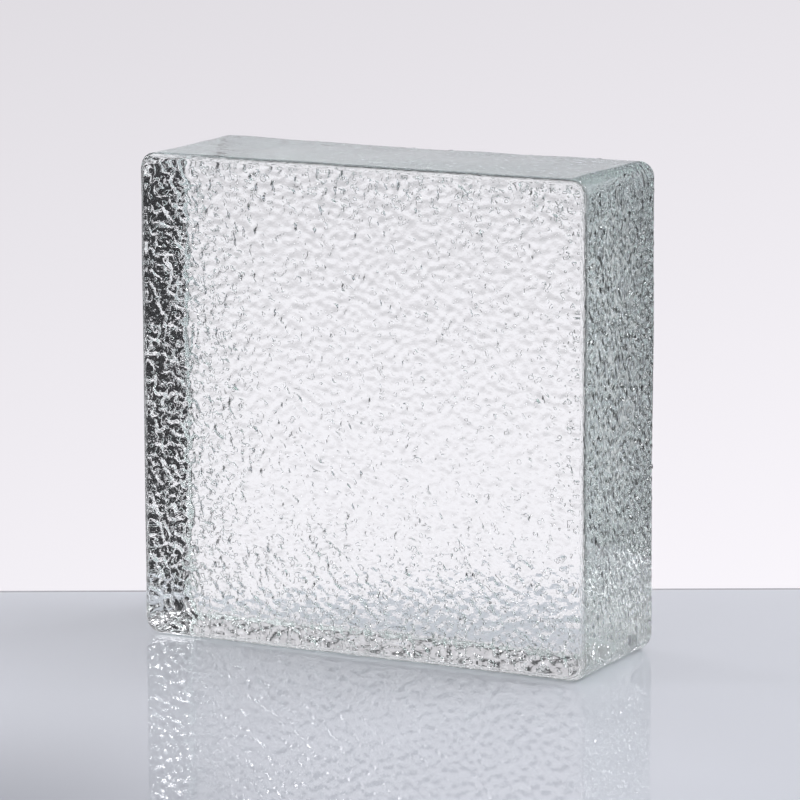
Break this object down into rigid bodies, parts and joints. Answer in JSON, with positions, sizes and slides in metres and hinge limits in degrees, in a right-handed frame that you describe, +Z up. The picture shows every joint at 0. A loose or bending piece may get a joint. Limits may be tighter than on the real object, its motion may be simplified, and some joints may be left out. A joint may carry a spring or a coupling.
{
  "type": "solid glass block",
  "caption": "Solid square block of clear cast glass with a smooth front face, a pebbled back face and rolled edges, laid like a brick to build a wall that lets light through.",
  "frame": {"origin": "middle of the lower rim, under the centre of the block, on the surface it stands on", "axes": "+Z up the wall, +X along the wall, the smooth front face towards -Y and the pebbled back face towards +Y"},
  "size_m": [0.15, 0.05, 0.15],
  "materials": {
    "clear_glass": "fire-polished front and rims, pebbled back"
  },
  "bodies": {
    "root": {"glass_block": "clear_glass"}
  },
  "joints": []
}
